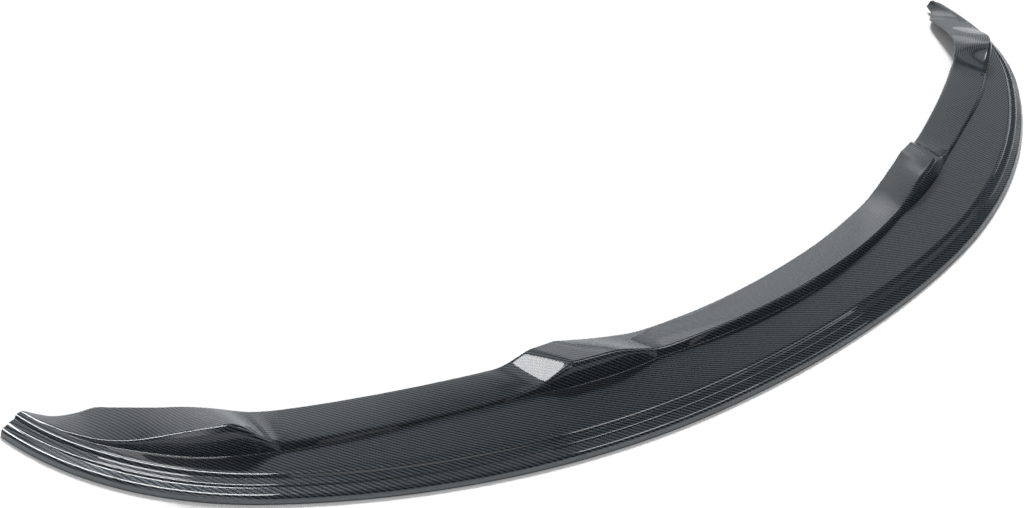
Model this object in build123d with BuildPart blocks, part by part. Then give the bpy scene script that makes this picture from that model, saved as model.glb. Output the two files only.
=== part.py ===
from build123d import *
import os
from math import atan2, copysign, cos, radians, sin
from typing import NamedTuple

# Front splitter lip for a car bumper: one moulded shell, bent round the nose of the car.
# Frame: +X across the car, +Y towards its back, +Z up. The origin is on the ground plane, half way
# from the nose to the tips. Everything is in millimetres.

# Plan line of the bottom front edge, from the middle to one tip: three arcs, tangent to each other
centre_radius = 1550
centre_span = 225
shoulder_radius = 1035
shoulder_span = 535
corner_radius = 510
tip_heading = 82  # of the section at each tip, in degrees, where 90 cuts it square across the car
tip_run = 80  # length over which the sections turn to that heading

# Cross-section of the front: upright face, sloping ledge with a step in it, riser up to the blade
sheet = 3.0
face_height = 9.2
face_lean = 4.0
ledge_rise = 8.3
ledge_depth_centre = 19.0
ledge_depth_tip = 16.5
ledge_droop = 4.0  # how much lower the ledge and all above it ends at the tips
droop_run = 160  # length of lip that droops, at each end
step_foot_share = (0.48, 0.5)  # of the ledge's depth and rise
step_top_share = (0.585, 0.76)
riser_lean = 3.6
riser_height_centre = 3.6
riser_height_tip = 5.4
blade_fall = 0.5  # from the riser back to the foot of the wall

# Softened edges: round at the front, bevelled along the top of the wall
edge_radius = 2.0
low_bevel = 1.2
high_bevel = 6.0
tall_wall = 40  # height above the blade of a wall with the high bevel

# Heights of the wall top, from the ground
centre_top = 36
sag_top = 30
crest_top = 51
outer_top = 26
bump_top = 62.5
ridge_top = 19.5

# Heights of the flange's rear edge, from the ground
centre_rear = 11
crest_rear = 44
outer_rear = 27
bump_rear = 43.5
tail_rear = 10


class Place(NamedTuple):
    run: float  # distance along the plan line from the place before
    blade: float  # width of the blade, from the riser to the foot of the wall
    lean: float  # how far the wall leans back
    top: float  # height of the wall top
    flange: float  # width of the flange, seen from above
    rear: float  # height of the rear edge


# Named places from the middle of the lip to one tip
places = [
    Place(run=0, blade=51.9, lean=5.5, top=centre_top, flange=64, rear=centre_rear),
    Place(run=130, blade=57.2, lean=4, top=centre_top - 1, flange=61.5, rear=centre_rear),
    Place(run=125, blade=61, lean=11, top=sag_top, flange=53, rear=centre_rear + 5),
    Place(run=63, blade=64.6, lean=8, top=crest_top, flange=54, rear=crest_rear - 16.5),
    Place(run=70, blade=65.8, lean=8, top=crest_top, flange=51.5, rear=crest_rear),
    Place(run=37, blade=65.9, lean=6, top=outer_top + 5.5, flange=49.5, rear=crest_rear),
    Place(run=40, blade=64.5, lean=6, top=outer_top + 1, flange=51, rear=outer_rear),
    Place(run=95, blade=58.7, lean=5.5, top=outer_top, flange=53, rear=outer_rear),
    Place(run=100, blade=43.4, lean=5.5, top=outer_top + 3.5, flange=58, rear=outer_rear),
    Place(run=98, blade=30.6, lean=4.5, top=outer_top + 6, flange=56.5, rear=outer_rear + 0.5),
    Place(run=39, blade=25.7, lean=1.5, top=bump_top, flange=57, rear=outer_rear + 4),
    Place(run=53, blade=17.3, lean=2, top=bump_top - 6.5, flange=56.5, rear=bump_rear),
    Place(run=38, blade=13.4, lean=3.5, top=bump_top - 16, flange=55.5, rear=bump_rear - 0.5),
    Place(run=37, blade=9, lean=5, top=ridge_top + 15.5, flange=54.5, rear=bump_rear - 7),
    Place(run=40, blade=5.1, lean=4.5, top=ridge_top + 8.5, flange=55.5, rear=bump_rear - 14.5),
    Place(run=57, blade=3.7, lean=4, top=ridge_top + 3, flange=48, rear=bump_rear - 24.5),
    Place(run=18, blade=3.5, lean=4, top=ridge_top + 2, flange=39, rear=tail_rear + 1.5),
    Place(run=25, blade=3.2, lean=3.7, top=ridge_top + 0.8, flange=19, rear=tail_rear),
    Place(run=33, blade=3.1, lean=3.5, top=ridge_top, flange=9, rear=tail_rear),
]

place_along = [sum(place.run for place in places[: index + 1]) for index in range(len(places))]
half_length = place_along[-1]


def eased(along, values):
    """Value at a distance along the lip, eased from place to place without overshoot."""
    runs = [end - start for start, end in zip(place_along, place_along[1:])]
    slopes = [(after - before) / run for before, after, run in zip(values, values[1:], runs)]
    bends = [0.0]
    for before, after in zip(slopes, slopes[1:]):
        bends.append(2 * before * after / (before + after) if before * after > 0 else 0.0)
    bends.append(slopes[-1])
    span = max(index for index in range(len(runs)) if along >= place_along[index])
    run = runs[span]
    t = (along - place_along[span]) / run
    return (
        values[span] * (1 + 2 * t) * (1 - t) ** 2
        + values[span + 1] * t**2 * (3 - 2 * t)
        + run * bends[span] * t * (1 - t) ** 2
        + run * bends[span + 1] * t**2 * (t - 1)
    )


def plan_point(along):
    """Point of the bottom front edge, and its heading, at a signed distance from the middle."""
    side = 1 if along >= 0 else -1
    left = abs(along)
    x, y, heading = 0.0, 0.0, 0.0
    for radius, span in (
        (centre_radius, centre_span),
        (shoulder_radius, shoulder_span),
        (corner_radius, half_length),
    ):
        turn = min(left, span) / radius
        x += radius * (sin(heading + turn) - sin(heading))
        y += radius * (cos(heading) - cos(heading + turn))
        heading += turn
        left -= min(left, span)
    return side * x, y, side * heading


def upper_line(along):
    """Corners of the visible face of the sheet, from the ground to the rear edge."""
    share = along / half_length
    ledge_depth = ledge_depth_centre + (ledge_depth_tip - ledge_depth_centre) * share
    riser_height = riser_height_centre + (riser_height_tip - riser_height_centre) * share
    blade, lean, top, flange, rear = (
        eased(along, [place[field] for place in places]) for field in range(1, len(Place._fields))
    )
    ledge_back = face_lean + ledge_depth
    foot = ledge_back + riser_lean + blade
    drooping = max(0, 1 - (half_length - along) / droop_run)
    ledge_top = face_height + ledge_rise - ledge_droop * drooping**2 * (3 - 2 * drooping)
    blade_top = ledge_top + riser_height
    return [
        Vector(0, 0),
        Vector(face_lean, face_height),
        Vector(ledge_back, ledge_top),
        Vector(ledge_back + riser_lean, blade_top),
        Vector(foot, blade_top - blade_fall),
        Vector(foot + lean, top),
        Vector(foot + lean + flange, rear),
    ]


def section_plane(along):
    """Upright plane across the lip, with X pointing back from the front edge and Y up."""
    x, y, heading = plan_point(along)
    _, tip_y, end_heading = plan_point(half_length)
    depth = tip_y + upper_line(half_length)[-1].X * cos(radians(tip_heading))
    turning = max(0, 1 - (half_length - abs(along)) / tip_run)
    heading += copysign(turning**2 * (radians(tip_heading) - end_heading), along)
    return Plane(
        origin=(x, y - depth / 2, 0),
        x_dir=(-sin(heading), cos(heading), 0),
        z_dir=(cos(heading), sin(heading), 0),
    )


def ledge_point(edge, cove, share):
    """Point of the step in the ledge, at a share of the ledge's depth and rise."""
    return Vector(edge.X + (cove.X - edge.X) * share[0], edge.Y + (cove.Y - edge.Y) * share[1])


def lower_line(upper):
    """Corners of the hidden face: the upper corners moved in by the sheet's thickness."""
    angles = [atan2(end.Y - start.Y, end.X - start.X) for start, end in zip(upper, upper[1:])]
    lower = [Vector(upper[0].X + sheet / sin(angles[0]), upper[0].Y)]
    for corner, before, after in zip(upper[1:], angles, angles[1:]):
        middle = (before + after) / 2
        reach = sheet / cos((after - before) / 2)
        lower.append(Vector(corner.X + reach * sin(middle), corner.Y - reach * cos(middle)))
    last = upper[-1]
    lower.append(Vector(last.X + sheet * sin(angles[-1]), last.Y - sheet * cos(angles[-1])))
    return lower


def bevelled(crest, foot, rear):
    """Both ends of the bevel that takes off the top corner of the wall."""
    bevel = low_bevel + (high_bevel - low_bevel) * ((crest.Y - foot.Y) / tall_wall) ** 2
    return [crest + (corner - crest).normalized() * bevel for corner in (foot, rear)]


half_stations = [0.0]
for start, end in zip(place_along, place_along[1:]):
    half_stations += [(start + end) / 2, end]
stations = [-along for along in reversed(half_stations[1:])] + half_stations

with BuildPart() as splitter_lip:
    for station in stations:
        upper = upper_line(abs(station))
        ground, edge, cove, lip, foot, crest, rear = upper
        step_foot = ledge_point(edge, cove, step_foot_share)
        step_top = ledge_point(edge, cove, step_top_share)
        with BuildSketch(section_plane(station)):
            with BuildLine():
                FilletPolyline(ground, edge, step_foot, radius=edge_radius)
                Polyline(step_foot, step_top, cove)
                FilletPolyline(cove, lip, foot, radius=edge_radius)
                Polyline(foot, *bevelled(crest, foot, rear), rear)
                Polyline(rear, *reversed(lower_line(upper)), ground)
            make_face()
    loft()

splitter_lip.part.label = "splitter_lip"
os.makedirs("parts", exist_ok=True)
export_step(splitter_lip.part, "parts/splitter_lip.step")
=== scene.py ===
import bpy
import bmesh
from itertools import accumulate
from math import atan2, copysign, cos, pi, radians, sin, sqrt, tan
from mathutils import Matrix, Vector


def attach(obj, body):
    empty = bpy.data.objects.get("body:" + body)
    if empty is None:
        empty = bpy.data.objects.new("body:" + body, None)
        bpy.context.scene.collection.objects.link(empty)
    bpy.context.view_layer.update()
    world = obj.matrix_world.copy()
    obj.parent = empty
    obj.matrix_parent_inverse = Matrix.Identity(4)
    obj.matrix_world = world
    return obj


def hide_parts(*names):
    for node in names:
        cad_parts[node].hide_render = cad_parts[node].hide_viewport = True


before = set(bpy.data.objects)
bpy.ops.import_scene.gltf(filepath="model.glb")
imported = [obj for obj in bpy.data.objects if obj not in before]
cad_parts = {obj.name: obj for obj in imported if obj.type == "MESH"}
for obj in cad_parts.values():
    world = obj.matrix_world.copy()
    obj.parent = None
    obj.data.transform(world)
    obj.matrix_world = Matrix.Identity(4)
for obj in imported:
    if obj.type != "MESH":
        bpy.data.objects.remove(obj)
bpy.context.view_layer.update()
print("frame loaded:", sorted(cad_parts))

scene = bpy.context.scene
scene.view_settings.view_transform = "Standard"
mm = 0.001


class Flow:  # one shader socket; sums on it add Math nodes
    def __init__(self, tree, socket=None):
        self.tree = tree
        self.socket = socket

    def add(self, kind, settings=None, sockets=None, out=0):  # any node, with its settings set first
        node = self.tree.nodes.new(kind)
        for name, value in (settings or {}).items():
            setattr(node, name, value)
        for name, value in (sockets or {}).items():
            if isinstance(value, Flow):
                self.tree.links.new(value.socket, node.inputs[name])
            else:
                node.inputs[name].default_value = value
        return Flow(self.tree, node.outputs[out] if len(node.outputs) else None)

    def pick(self, name):  # another output of the same node
        return Flow(self.tree, self.socket.node.outputs[name])

    def maths(self, operation, *values):
        return self.add("ShaderNodeMath", {"operation": operation}, dict(enumerate(values)))

    def mix(self, first, second, factor):  # colours
        return self.add("ShaderNodeMix", {"data_type": "RGBA"}, {0: factor, 6: first, 7: second}, 2)

    def ramp(self, low, high):  # soft step from nought to one
        return self.add("ShaderNodeMapRange", {"interpolation_type": "SMOOTHSTEP"}, {0: self, 1: low, 2: high})

    def __add__(self, other):
        return self.maths("ADD", self, other)

    def __sub__(self, other):
        return self.maths("SUBTRACT", self, other)

    def __rsub__(self, other):
        return self.maths("SUBTRACT", other, self)

    def __mul__(self, other):
        return self.maths("MULTIPLY", self, other)

    def __mod__(self, other):
        return self.maths("FLOORED_MODULO", self, other)

    def __lt__(self, other):
        return self.maths("LESS_THAN", self, other)

    __radd__ = __add__
    __rmul__ = __mul__


def newTree(owner):  # empty node tree of a material or a world
    owner.use_nodes = True
    owner.node_tree.nodes.clear()
    return Flow(owner.node_tree)


# camera, at the photograph's viewing angle
shot = {
    "target": (-0.2277, 0.1522, 0.0),
    "azimuth": -39.29,
    "elevation": 36.45,
    "distance": 1.6271,
    "lens": 42.19,
    "sensor": 36,  # its width, in millimetres as the lens is
    "clip": (0.05, 60),
}


def makeCamera():
    turn, lift = radians(shot["azimuth"]), radians(shot["elevation"])
    back = Vector((sin(turn) * cos(lift), -cos(turn) * cos(lift), sin(lift)))
    data = bpy.data.cameras.new("camera")
    data.sensor_fit = "HORIZONTAL"
    data.sensor_width = shot["sensor"]
    data.lens = shot["lens"]
    data.clip_start, data.clip_end = shot["clip"]
    camera = bpy.data.objects.new("camera", data)
    camera.location = Vector(shot["target"]) + back * shot["distance"]
    camera.rotation_euler = (-back).to_track_quat("-Z", "Y").to_euler()
    scene.collection.objects.link(camera)
    scene.camera = camera
    bpy.context.view_layer.update()


makeCamera()
print("camera set")

# the lip: a flat blank, formed over the lip's lines and closed into a thin shell; in millimetres and degrees
lip = {
    "arcs": ((1550, 225), (1035, 535), (510, 1098)),  # radius and length of the front edge, from the middle out
    "tip": (82, 80),  # heading of the section at the tips, and the length over which the sections turn to it
    "droop": (4.0, 160),  # drop of the ledge at the tips, and its length
    "sheet": 3.0,
    "face": (4.0, 9.2),  # lean and height
    "ledge": (19.0, 16.5, 8.3),  # depth in the middle and at the tips, rise
    "step": ((0.48, 0.5), (0.585, 0.82)),  # its foot and top, as shares of the ledge's depth and rise
    "riser": (3.6, 3.6, 5.4),  # lean, height in the middle and at the tips
    "bladeFall": 0.5,
    "bevel": (1.2, 6.0, 40),  # along the top of a low wall and of a tall one, and how tall that is
    "bevelReach": (1.5, 0.6),  # its shares down the wall and along the flange
    "flangeCrown": 0.012,  # share of the flange's width
    "skew": 38,  # how much further out the ramps lie at the rear edge than at the wall
    "skewFade": (150, 90),  # lengths over which that fades away, in the middle and at the tips
    # run from the place before, width of the blade, lean of the wall, its top, width of the flange, height of
    # the rear edge, and how far before and behind the place its bend is spread
    "places": (
        (0, 51.9, 5.5, 36, 64, 11, 60),
        (130, 57.2, 4, 35, 61.5, 11, 50),
        (125, 67, 5, 30, 53, 16, 22),
        (63, 64.6, 8, 51, 54, 27.5, 16),
        (68, 65.8, 8, 51, 51.5, 44, 3),
        (39, 68.4, 3.5, 31.5, 49.5, 44, 5),
        (40, 68.2, 2.3, 27, 51, 26, 14),
        (95, 62, 2.2, 26, 53, 25.5, 45),
        (100, 45.9, 3, 29.5, 58, 26, 45),
        (102, 30.1, 4.5, 32, 56.5, 27.5, 16),
        (37, 25.4, 1.5, 69, 57, 30.5, 12),
        (51, 17.8, 1.5, 60, 56.5, 41.5, 18),
        (38, 15.4, 1.5, 47.5, 55.5, 41.5, 18),
        (37, 12.5, 1.5, 35, 54.5, 36, 18),
        (40, 8.1, 1.5, 28, 55.5, 29, 18),
        (57, 6.1, 1.6, 22.5, 48, 19, 9),
        (18, 6.3, 1.2, 21.5, 39, 11.5, 8),
        (25, 5.9, 1.0, 20.3, 19, 10, 12),
        (33, 5.9, 0.7, 19.5, 9, 10, 12),
    ),
    "rounds": {  # radius of each corner, rows on its round, and rows on the flat behind it
        "ground": (0.5, 2, 2),
        "frontEdge": (6.5, 10, 3),
        "stepFoot": (0.3, 2, 1),
        "stepTop": (4.0, 8, 3),
        "cove": (0.4, 2, 2),
        "bladeLip": (6.0, 10, 6),
        "wallFoot": (1.0, 5, 6),
        "bevelFoot": (3.0, 6, 2),
        "bevelTop": (3.0, 8, 14),
        "rearEdge": (1.5, 5, 1),
        "hiddenRear": (0.7, 2, 8),  # hidden side, back to the front
        "hiddenCrest": (0.5, 2, 3),
        "hiddenFoot": (0.5, 2, 5),
        "hiddenLip": (0.5, 2, 1),
        "hiddenCove": (3.0, 3, 2),
        "hiddenEdge": (0.5, 2, 1),
        "hiddenGround": (0.5, 2, 1),
    },
    "roundShare": 0.45,  # the most that one round may take of a flat
    "columns": 600,
    "weld": 0.005,  # gap that the seam is closed over
    "crease": 38,  # sharpest bend that is still shaded soft
    "lay": (36, 0.43),  # angle of the twill's stripes to the length in the middle, how the heading lessens it
}
placeRuns, *profiles, bendSpreads = zip(*lip["places"])
placeAlong = list(accumulate(placeRuns))
halfLength = placeAlong[-1]
columnPitch = 2 * halfLength / lip["columns"]
columnsAlong = [halfLength * (2 * column / lip["columns"] - 1) for column in range(lip["columns"] + 1)]


def eased(along, values):  # straight from place to place, with a soft bend at each
    slopes = [(end - start) / run for start, end, run in zip(values, values[1:], placeRuns[1:])]
    slopes = [-slopes[0], *slopes, slopes[-1]]  # the other half, and past the tip
    span = max(k for k in range(len(values) - 1) if along >= placeAlong[k])
    level = values[span] + slopes[span + 1] * (along - placeAlong[span])
    for k in (span, span + 1):
        near = max(0, bendSpreads[k] - abs(along - placeAlong[k]))
        level += (slopes[k + 1] - slopes[k]) * near**2 / (4 * bendSpreads[k])
    return level


def frontEdge(along):  # point and heading of the bottom front edge
    left = abs(along)
    x, y, heading = 0.0, 0.0, 0.0
    for radius, span in lip["arcs"]:
        turn = min(left, span) / radius
        x += radius * (sin(heading + turn) - sin(heading))
        y += radius * (cos(heading) - cos(heading + turn))
        heading += turn
        left -= min(left, span)
    return copysign(x, along), y, copysign(heading, along)


def mainCorners(along):  # shown side of the section, from the ground to the rear edge
    share = along / halfLength
    faceLean, faceHeight = lip["face"]
    depthMiddle, depthTip, rise = lip["ledge"]
    riserLean, riserMiddle, riserTip = lip["riser"]
    drop, dropRun = lip["droop"]
    blade, lean, top, flange, rear = (eased(along, values) for values in profiles)
    drooping = max(0, 1 - (halfLength - along) / dropRun)
    ledgeBack = faceLean + depthMiddle + (depthTip - depthMiddle) * share
    foot = ledgeBack + riserLean + blade
    ledgeTop = faceHeight + rise - drop * drooping**2 * (3 - 2 * drooping)
    bladeTop = ledgeTop + riserMiddle + (riserTip - riserMiddle) * share
    return [
        Vector((0, 0)),
        Vector((faceLean, faceHeight)),
        Vector((ledgeBack, ledgeTop)),
        Vector((ledgeBack + riserLean, bladeTop)),
        Vector((foot, bladeTop - lip["bladeFall"])),
        Vector((foot + lean, top)),
        Vector((foot + lean + flange, rear)),
    ]


def shownCorners(main):  # the same, with the step in the ledge and the bevel on the wall
    ground, edge, cove, bladeLip, foot, crest, rear = main
    ledge = cove - edge
    stepFoot, stepTop = (edge + Vector((ledge.x * depth, ledge.y * rise)) for depth, rise in lip["step"])
    low, high, tall = lip["bevel"]
    bevel = low + (high - low) * ((crest.y - foot.y) / tall) ** 2
    downWall, alongFlange = lip["bevelReach"]
    bevelFoot = crest + (foot - crest).normalized() * bevel * downWall
    bevelTop = crest + (rear - crest).normalized() * bevel * alongFlange
    return [ground, edge, stepFoot, stepTop, cove, bladeLip, foot, bevelFoot, bevelTop, rear]


def hiddenCorners(main):  # the main corners, one sheet thickness further in, from the rear edge forwards
    sheet = lip["sheet"]
    angles = [atan2(end.y - start.y, end.x - start.x) for start, end in zip(main, main[1:])]
    hidden = [main[0] + Vector((sheet / sin(angles[0]), 0))]
    for corner, before, after in zip(main[1:], angles, angles[1:] + angles[-1:]):
        middle, reach = (before + after) / 2, sheet / cos((after - before) / 2)
        hidden.append(corner + Vector((reach * sin(middle), -reach * cos(middle))))
    return hidden[::-1]


def section(along):  # closed line round the sheet, as rows
    main = mainCorners(along)
    corners = shownCorners(main) + hiddenCorners(main)
    rounds = list(lip["rounds"].values())
    arcs = []
    for k, (corner, (widest, arcRows, _)) in enumerate(zip(corners, rounds)):
        before, behind = corner - corners[k - 1], corners[(k + 1) % len(corners)] - corner
        into = before.normalized()
        turn = into.angle_signed(behind.normalized())  # positive is clockwise
        side = Vector((into.y, -into.x)) * copysign(1, turn)
        bend = tan(abs(turn) / 2)
        reach = min(widest * bend, lip["roundShare"] * before.length, lip["roundShare"] * behind.length)
        radius = reach / bend
        angles = [abs(turn) * step / arcRows for step in range(arcRows + 1)]
        start = corner - into * reach
        arcs.append([start + radius * (into * sin(angle) + side * (1 - cos(angle))) for angle in angles])
    rows = []
    for k, (arc, (_, _, flatRows)) in enumerate(zip(arcs, rounds)):
        ahead = arcs[(k + 1) % len(arcs)][0]
        rows += arc + [arc[-1].lerp(ahead, step / flatRows) for step in range(1, flatRows)]
    return rows + rows[:1]


def roundStart(corner):  # row where a corner's round starts
    before = list(lip["rounds"]).index(corner)
    return sum(arcRows + flatRows for _, arcRows, flatRows in list(lip["rounds"].values())[:before])


def flatStart(corner):  # row where the flat behind it starts
    return roundStart(corner) + lip["rounds"][corner][1]


def formLines():  # one section line for each column of the blank
    _, tipY, endHeading = frontEdge(halfLength)
    tipAngle, tipRun = lip["tip"]
    tipHeading = radians(tipAngle)
    depth = tipY + mainCorners(halfLength)[-1].x * cos(tipHeading)
    formed = []
    for along in columnsAlong:
        x, y, heading = frontEdge(along)
        turning = max(0, 1 - (halfLength - abs(along)) / tipRun)
        heading += copysign(turning**2 * (tipHeading - endHeading), along)
        backward = Vector((-sin(heading), cos(heading), 0))
        start = Vector((x, y - depth / 2, 0))
        formed.append([start + backward * at.x + Vector((0, 0, at.y)) for at in section(abs(along))])
    return formed


def skewRamps(formed):  # the lines again, with ramps that lie aslant on both sides of the flange
    lastColumn = len(formed) - 1
    fadeMiddle, fadeTip = lip["skewFade"]
    flanges = (  # row of the wall, row of the rear edge, crown between them
        (flatStart("bevelTop"), roundStart("rearEdge"), lip["flangeCrown"]),
        (roundStart("hiddenCrest"), flatStart("hiddenRear"), 0),
    )

    def railAt(place, row):  # point of a long line of the lip, at a place counted in columns
        place = min(max(place, 0), lastColumn)
        low = min(int(place), lastColumn - 1)
        return formed[low][row].lerp(formed[low + 1][row], place - low)

    shaped = [list(line) for line in formed]
    for column, along in enumerate(columnsAlong):
        fade = min(1, abs(along) / fadeMiddle, (halfLength - abs(along)) / fadeTip)
        lag = copysign(lip["skew"] * fade, along) / columnPitch
        for wall, rear, crown in flanges:
            width = (formed[column][rear] - formed[column][wall]).length
            for row in range(min(wall, rear) + 1, max(wall, rear)):
                t = (row - wall) / (rear - wall)
                bulge = crown * width * 4 * t * (1 - t)
                flat = railAt(column - lag * t, wall).lerp(railAt(column + lag * (1 - t), rear), t)
                shaped[column][row] = flat + Vector((0, 0, bulge))
    return shaped


def layTwill(bm, spots, shaped):  # UV maps: "span" along the lip and round the sheet, "tow" along the two tows
    span, tow = (bm.loops.layers.uv[name] for name in ("span", "tow"))
    layMiddle, layFall = lip["lay"]
    lays = [radians(layMiddle) - layFall * frontEdge(along)[2] ** 2 for along in columnsAlong]
    stripes = [(0.0, 0.0)]  # how far each column is across and along the twill's stripes
    for lay in lays[1:]:
        stripes.append((stripes[-1][0] + columnPitch * sin(lay), stripes[-1][1] + columnPitch * cos(lay)))
    widths = [[0.0, *accumulate((after - before).length for before, after in zip(line, line[1:]))] for line in shaped]
    diagonal = sqrt(0.5)  # the tows lie at half a right angle to the stripes
    hiddenStart = roundStart("hiddenRear")
    for face in bm.faces:
        side = 1 if min(spots[vert][1] for vert in face.verts) < hiddenStart else -1  # minus is the hidden side
        for loop in face.loops:
            column, row = spots[loop.vert]
            width, lay = widths[column][row], lays[column]
            across = (stripes[column][0] + width * cos(lay)) * mm
            down = (stripes[column][1] - width * sin(lay)) * mm
            loop[span].uv = (columnsAlong[column] * mm, side * width * mm)
            loop[tow].uv = ((across + down) * diagonal, (across - down) * diagonal)


def makeLip():
    shaped = skewRamps(formLines())
    columns, rows = len(shaped) - 1, len(shaped[0]) - 1
    bm = bmesh.new()
    for name in ("span", "tow"):
        bm.loops.layers.uv.new(name)
    bmesh.ops.create_grid(bm, x_segments=columns, y_segments=rows, size=0.5)
    spots = {vert: (round((vert.co.x + 0.5) * columns), round((vert.co.y + 0.5) * rows)) for vert in bm.verts}
    layTwill(bm, spots, shaped)
    for vert, (column, row) in spots.items():
        vert.co = shaped[column][row] * mm
    bmesh.ops.remove_doubles(bm, verts=bm.verts, dist=lip["weld"] * mm)
    bmesh.ops.holes_fill(bm, edges=[edge for edge in bm.edges if edge.is_boundary], sides=0)  # both tips
    bmesh.ops.recalc_face_normals(bm, faces=bm.faces)
    mesh = bpy.data.meshes.new("lip_shell")
    bm.to_mesh(mesh)
    bm.free()
    mesh.shade_smooth()
    mesh.set_sharp_from_angle(angle=radians(lip["crease"]))
    piece = bpy.data.objects.new("lip_shell", mesh)
    scene.collection.objects.link(piece)
    return piece


lipShell = makeLip()
print("lip formed:", len(lipShell.data.vertices), "vertices,", len(lipShell.data.polygons), "faces")

# gloss clear coat over a two-by-two twill, which follows the lip's length
carbon = {
    "tow": 1.32 * mm,
    "twill": (4, 2),  # tows in a repeat, and how many of them are light
    "dark": (0.0012, 0.002, 0.003, 1),
    "light": (0.060, 0.075, 0.086, 1),
    "sheen": 0.22,  # how metal-like the light tows are
    "faceWidth": 7.0 * mm,  # plain grey, without weave
    # plain grey of the face, lightened with a painted reflection of the bright floor in front
    "faceGreyAndPaintedReflection": (0.15, 0.168, 0.178, 1),
    "contactShadeLine": 1.3 * mm,  # painted contact shade: the bottom strip of the face, as dark as the bare hidden side
    # black of the bare hidden side, also painted on the face's bottom strip as contact shade
    "bareAndContactShadeBlack": (0.012, 0.012, 0.013, 1),
    "roughness": 0.4,
    "underGloss": 0.1,  # of the weave itself, below the coat
    "coatRoughness": 0.02,
}


def glossCarbon():
    material = bpy.data.materials.new("gloss_carbon")
    tree = newTree(material)
    cloth, blank = (
        tree.add("ShaderNodeSeparateXYZ", sockets={0: tree.add("ShaderNodeUVMap", {"uv_map": name})})
        for name in ("tow", "span")
    )
    warp, weft = (cloth.pick(axis) * (1 / carbon["tow"]) for axis in "XY")
    across = blank.pick("Y")
    repeat, lightTows = carbon["twill"]
    over = ((warp.maths("FLOOR", warp) + weft.maths("FLOOR", weft)) % repeat) < lightTows - 0.5  # whole numbers
    face = across < carbon["faceWidth"]
    # the bare hidden side, and the face's bottom strip where contact shade is painted
    bareAndShadeLine = across < carbon["contactShadeLine"]
    weave = tree.mix(carbon["dark"], carbon["light"], over)
    # the face gets its plain grey, which carries a painted reflection of the floor
    shown = tree.mix(weave, carbon["faceGreyAndPaintedReflection"], face)
    gloss = tree.add("ShaderNodeBsdfPrincipled", sockets={
        "Base Color": tree.mix(shown, carbon["bareAndContactShadeBlack"], bareAndShadeLine),
        "Roughness": carbon["roughness"],
        "Metallic": over * carbon["sheen"] * (1 - face),
        "Coat Weight": 1 - bareAndShadeLine,
        "Coat Roughness": carbon["coatRoughness"],
        "Specular IOR Level": carbon["underGloss"],
    })
    tree.add("ShaderNodeOutputMaterial", sockets={"Surface": gloss})
    return material


lipShell.data.materials.append(glossCarbon())
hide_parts("splitter_lip")
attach(lipShell, "root")
print("carbon finish laid on")

# pale floor and soft studio light; in metres and degrees
studio = {
    "white": (1, 1, 1, 1),
    "floorSize": 40.0,
    "floorDrop": 0.4 * mm,  # keeps the lip's bottom edge clear of it
    "floorColour": (0.94, 0.94, 0.94, 1),
    "floorWhite": 0.06,  # its own white in the camera, also under the shadow
    "floorFade": (1.6, 5.0),  # how far out it starts to turn into a plain white backdrop, and where it is one
    "floorDim": (0.66, 0.68, 0.7, 1),  # the same floor in the gloss, where the studio is dim
    "ambient": (0.40, 0.40, 0.40, 1),  # plain light from all sides on what isn't glossy
    "room": (0.06, 0.075, 0.09, 1),  # the dim studio in the gloss
    "glows": (  # pale parts of it: turn from the back, height, outer and inner half angle, strength
        (24, 18, 32, 14, 0.85),
        (42, 25, 13, 3, 0.7),
        (65, 25, 24, 6, 0.42),
        (0, 57, 19, 8, 0.9),
        (57, 4, 10, 4, 0.4),
        (76, 1, 13, 5, 0.45),
        (83, 10, 9, 4, 0.4),
        (90, 19, 9, 4, 0.4),
        (77, 27.5, 8, 4, -0.4),  # three dark flags
        (74, 21, 8, 4, -0.4),
        (71, 15, 8, 4, -0.4),
        (180, 82, 32, 8, 0.4),
        (-46, 44, 16, 6, 1.3),
        (-113, 4, 18, 8, 2.0),
    ),
    "lampAim": (-0.3, 0, 0),
    "lamps": {  # middle, one end of the long side, width, strength, seen in the gloss or else lighting the rest
        "left_strip": ((-1.869, 0.842, 1.023), (-1.888, 1.283, 0.795), 0.38, 22, True),
        "turned_strip": ((-1.58, -0.002, 1.364), (-1.321, -0.381, 1.478), 0.38, 22, True),
        "right_strip": ((-0.059, -1.255, 1.217), (0.158, -1.218, 1.145), 0.42, 8, True),
        "right_strip_mid": ((0.375, -1.182, 1.072), (0.592, -1.145, 1.0), 0.42, 5, True),
        "right_strip_far": ((0.861, -1.1, 0.91), (1.13, -1.055, 0.821), 0.42, 2.5, True),
        "front_strip": ((-1.01, -1.086, 0.686), (-0.498, -1.341, 0.672), 0.12, 1.4, True),
        "ramp_panel": ((-1.381, 1.287, 2.522), (-1.098, 1.493, 2.522), 0.7, 12, True),
        "softbox": ((5.6, 8.0, 10.8), (6.83, 7.14, 10.8), 1.6, 133, False),
    },
}


def floorWhite():
    paint = bpy.data.materials.new("floor_white")
    tree = newTree(paint)
    path = tree.add("ShaderNodeLightPath")
    lit, dim = (
        tree.add("ShaderNodeBsdfDiffuse", sockets={"Color": studio[name]})
        for name in ("floorColour", "floorDim")
    )
    white, backdrop = (
        tree.add("ShaderNodeEmission", sockets={"Color": studio["white"], "Strength": strength})
        for strength in (studio["floorWhite"], 1)
    )
    whiter = tree.add("ShaderNodeAddShader", sockets={0: lit, 1: white})
    place = tree.add("ShaderNodeTexCoord").pick("Object")
    distance = tree.add("ShaderNodeVectorMath", {"operation": "LENGTH"}, {0: place}).pick("Value")
    far = distance.ramp(*studio["floorFade"])
    seen = tree.add("ShaderNodeMixShader", sockets={0: far, 1: whiter, 2: backdrop})
    mirrored = tree.add("ShaderNodeMixShader", sockets={0: path.pick("Is Glossy Ray"), 1: lit, 2: dim})
    surface = tree.add("ShaderNodeMixShader", sockets={0: path.pick("Is Camera Ray"), 1: mirrored, 2: seen})
    tree.add("ShaderNodeOutputMaterial", sockets={"Surface": surface})
    return paint


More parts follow.
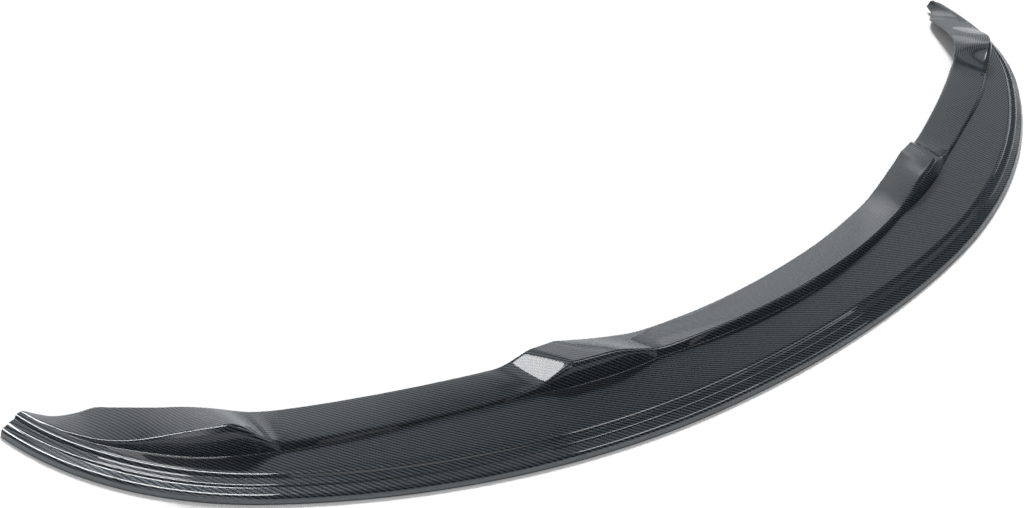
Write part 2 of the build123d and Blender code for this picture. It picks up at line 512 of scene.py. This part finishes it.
def makeFloor():
    bm = bmesh.new()
    bmesh.ops.create_grid(bm, x_segments=1, y_segments=1, size=studio["floorSize"] / 2)
    bmesh.ops.translate(bm, verts=bm.verts, vec=(0, 0, -studio["floorDrop"]))
    mesh = bpy.data.meshes.new("floor")
    bm.to_mesh(mesh)
    bm.free()
    mesh.materials.append(floorWhite())
    floor = bpy.data.objects.new("floor", mesh)
    scene.collection.objects.link(floor)


def makeWorld():
    world = bpy.data.worlds.new("studio")
    scene.world = world
    tree = newTree(world)
    path = tree.add("ShaderNodeLightPath")
    toward = tree.add("ShaderNodeTexCoord").pick("Generated")

    def nearness(direction):  # cosine of the angle to it
        return tree.add("ShaderNodeVectorMath", {"operation": "DOT_PRODUCT"}, {0: toward, 1: direction}).pick("Value")

    glow = 0.0
    for azimuth, height, outer, inner, strength in studio["glows"]:
        turn, lift = radians(azimuth), radians(height)
        near = nearness((sin(turn) * cos(lift), cos(turn) * cos(lift), sin(lift)))
        glow = strength * near.ramp(cos(radians(outer)), cos(radians(inner))) + glow
    glow = glow.maths("MAXIMUM", glow, 0)  # the flags stop at black
    plain, dim, pale, backdrop = (
        tree.add("ShaderNodeBackground", sockets={"Color": studio[name], "Strength": strength})
        for name, strength in (("ambient", 1), ("room", 1), ("white", glow), ("white", 1))
    )
    mirrored = tree.add("ShaderNodeAddShader", sockets={0: dim, 1: pale})
    lit = tree.add("ShaderNodeMixShader", sockets={0: path.pick("Is Glossy Ray"), 1: plain, 2: mirrored})
    shown = tree.add("ShaderNodeMixShader", sockets={0: path.pick("Is Camera Ray"), 1: lit, 2: backdrop})
    tree.add("ShaderNodeOutputWorld", sockets={"Surface": shown})


def makeLamps():
    for name, (centre, end, width, strength, glossy) in studio["lamps"].items():
        centre, end = Vector(centre), Vector(end)
        longSide = end - centre
        aim = Vector(studio["lampAim"]) - centre
        aim = (aim - longSide * aim.dot(longSide) / longSide.length_squared).normalized()  # square to the long side
        data = bpy.data.lights.new(name, "AREA")
        data.shape = "RECTANGLE"
        data.size, data.size_y = 2 * longSide.length, width
        data.energy = strength * pi * data.size * data.size_y  # strength is how bright its surface looks
        lamp = bpy.data.objects.new(name, data)
        across = (-aim).cross(longSide.normalized())
        turn = Matrix((longSide.normalized(), across, -aim)).transposed()
        lamp.matrix_world = Matrix.Translation(centre) @ turn.to_4x4()
        lamp.visible_camera = False
        lamp.visible_glossy, lamp.visible_diffuse = glossy, not glossy
        scene.collection.objects.link(lamp)


makeFloor()
makeWorld()
makeLamps()
print("studio lit by", len(studio["lamps"]), "lamps")

bpy.context.view_layer.update()
